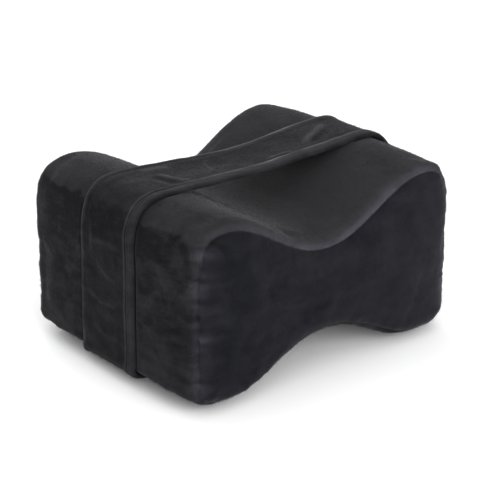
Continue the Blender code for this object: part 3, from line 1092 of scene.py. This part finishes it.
# %% The plush materials
# Each plush: a painted shade colour, a painted lit colour, a painted highlight colour, the patch and streak
# scales, the patch contrast and the sheen weight.
Plush = namedtuple("Plush", "lying standing tips patch_scale streak_scale contrast sheen")
BAND = Plush((0.003, 0.0032, 0.0038), (0.017, 0.0168, 0.0182), (0.058, 0.056, 0.07), 60.0, 170.0, 1.5, 0.07)
PANEL = Plush((0.003, 0.0032, 0.0048), (0.0148, 0.0146, 0.0184), (0.056, 0.054, 0.07), 40.0, 120.0, 0.65, 0.1)
STRAP = Plush(
    (0.003, 0.0032, 0.0038), (0.0125, 0.0124, 0.0134), (0.112, 0.112, 0.117), 75.0, 190.0, 1.4, 0.08
)
GRAIN_DEPTH = 0.0005
SURFACE = {"Roughness": 0.95, "Specular IOR Level": 0.12, "Sheen Roughness": 0.35}
SHEEN_TINT = (0.8, 0.81, 0.88, 1.0)


def make_plush(name, plush):
    material = bpy.data.materials.new(name)
    material.use_nodes = True
    tree = material.node_tree
    shader = tree.nodes["Principled BSDF"]
    # Read the painted light and the painted highlights; the group node mixes them with the patches into the
    # base colour.
    painted_light_and_nap = add_node(tree, "ShaderNodeAttribute", attribute_name="painted_light_and_nap").outputs["Fac"]
    tips = add_node(tree, "ShaderNodeAttribute", attribute_name="tips").outputs["Fac"]
    nap = add_node(tree, "ShaderNodeGroup", {"Painted Light And Nap": painted_light_and_nap, "Tips": tips}, node_tree=NAP_AND_LIGHT)
    set_sockets(nap, {"Patch Scale": plush.patch_scale, "Streak Scale": plush.streak_scale})
    nap.inputs["Contrast"].default_value = plush.contrast
    colours = {"Lying": plush.lying, "Standing": plush.standing, "Painted Highlight Colour": plush.tips}
    set_sockets(nap, {label: (*colour, 1.0) for label, colour in colours.items()})
    grain = add_node(tree, "ShaderNodeGroup", node_tree=GRAIN)
    bump = add_node(tree, "ShaderNodeBump", {"Height": grain.outputs["Height"], "Distance": GRAIN_DEPTH})
    tree.links.new(nap.outputs["Color"], shader.inputs["Base Color"])
    tree.links.new(bump.outputs["Normal"], shader.inputs["Normal"])
    set_sockets(shader, {**SURFACE, "Sheen Weight": plush.sheen, "Sheen Tint": SHEEN_TINT})
    return material


def dress_ends(obj, panel_faces):
    """The band's plush everywhere, and the end panels' plush on the faces that are on a panel."""
    obj.data.materials.append(BAND_PLUSH)
    obj.data.materials.append(PANEL_PLUSH)
    obj.data.polygons.foreach_set("material_index", panel_faces.astype(np.int32))


BAND_PLUSH = make_plush("band_plush", BAND)
PANEL_PLUSH = make_plush("panel_plush", PANEL)
STRAP_PLUSH = make_plush("strap_plush", STRAP)
dress_ends(cover, np.array([on_panel[face].all() for face in fine_faces]))
dress_ends(cover_pile, np.repeat(on_panel[cover_roots].all(axis=1), 4))
strap.data.materials.append(STRAP_PLUSH)
strap_pile.data.materials.append(STRAP_PLUSH)
print("plush:", BAND_PLUSH.name, PANEL_PLUSH.name, STRAP_PLUSH.name)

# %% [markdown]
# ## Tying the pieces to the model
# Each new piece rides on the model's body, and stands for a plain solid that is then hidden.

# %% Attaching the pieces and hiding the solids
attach(cover, "root")
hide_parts("pillow")
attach(cover_pile, "root")
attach(strap, "root")
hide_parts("strap")
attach(strap_pile, "root")

# %% [markdown]
# ## Floor, light and camera
# Black plush shows its form only through soft light. A wide lamp over the pillow's front left and a weak
# one straight above light the tops, and a low lamp at each end reaches into the hollow under the strap. A
# dim even world does the rest. The camera is fitted to the photograph's outline.

# %% Floor
FLOOR_SIZE = 14.0
FLOOR_DROP = 0.0002
bpy.ops.mesh.primitive_plane_add(size=FLOOR_SIZE, location=(0, 0, -FLOOR_DROP))
floor = bpy.context.object
floor.name = "studio_floor"
floor_finish = bpy.data.materials.new("pale_floor")
floor_finish.use_nodes = True
floor_shader = floor_finish.node_tree.nodes["Principled BSDF"]
set_sockets(floor_shader, {"Base Color": (0.9, 0.9, 0.9, 1), "Roughness": 0.9})
floor.data.materials.append(floor_finish)

# %% World and lamps
WORLD_STRENGTH = 0.6
world = bpy.data.worlds.new("studio_world")
bpy.context.scene.world = world
world.use_nodes = True
set_sockets(world.node_tree.nodes["Background"], {"Color": (1.0, 1.0, 1.0, 1), "Strength": WORLD_STRENGTH})
bpy.context.scene.view_settings.view_transform = "Standard"


def soft_lamp(name, location, size, power):
    data = bpy.data.lights.new(name, "AREA")
    data.shape = "SQUARE"
    data.size = size
    data.energy = power
    lamp = bpy.data.objects.new(name, data)
    lamp.location = location
    lamp.rotation_euler = (-Vector(location)).to_track_quat("-Z", "Y").to_euler()
    bpy.context.scene.collection.objects.link(lamp)


soft_lamp("front_left_light", (-1.1, -1.7, 1.45), size=2.6, power=38)
soft_lamp("low_front_light", (-0.2, -2.0, 0.75), size=1.6, power=32)
soft_lamp("low_back_light", (0.3, 2.0, 0.9), size=1.8, power=34)
soft_lamp("top_light", (-0.1, 0.1, 2.2), size=2.4, power=16)

# %% Camera at the photograph's angle
AZIMUTH = np.radians(-39.72)
ELEVATION = np.radians(22.47)
DISTANCE = 1.3467
AIM = Vector((0.0, 0.0, 0.0697))
LENS = 134.34
SENSOR_WIDTH = 36.0
FRAME_PIXELS = 480
CENTRE_X, CENTRE_Y = 242.0, 243.3
ROLL = np.radians(0.19)

level = Vector((np.sin(AZIMUTH), -np.cos(AZIMUTH), 0.0)) * np.cos(ELEVATION)
back = level + Vector((0.0, 0.0, np.sin(ELEVATION)))
camera_data = bpy.data.cameras.new("camera")
camera_data.lens = LENS
camera_data.sensor_width = SENSOR_WIDTH
camera_data.shift_x = -(CENTRE_X - FRAME_PIXELS / 2) / FRAME_PIXELS
camera_data.shift_y = (CENTRE_Y - FRAME_PIXELS / 2) / FRAME_PIXELS
camera = bpy.data.objects.new("camera", camera_data)
camera.matrix_world = (
    Matrix.Translation(AIM + back * DISTANCE)
    @ (-back).to_track_quat("-Z", "Y").to_matrix().to_4x4()
    @ Matrix.Rotation(ROLL, 4, "Z")
)
bpy.context.scene.collection.objects.link(camera)
bpy.context.scene.camera = camera
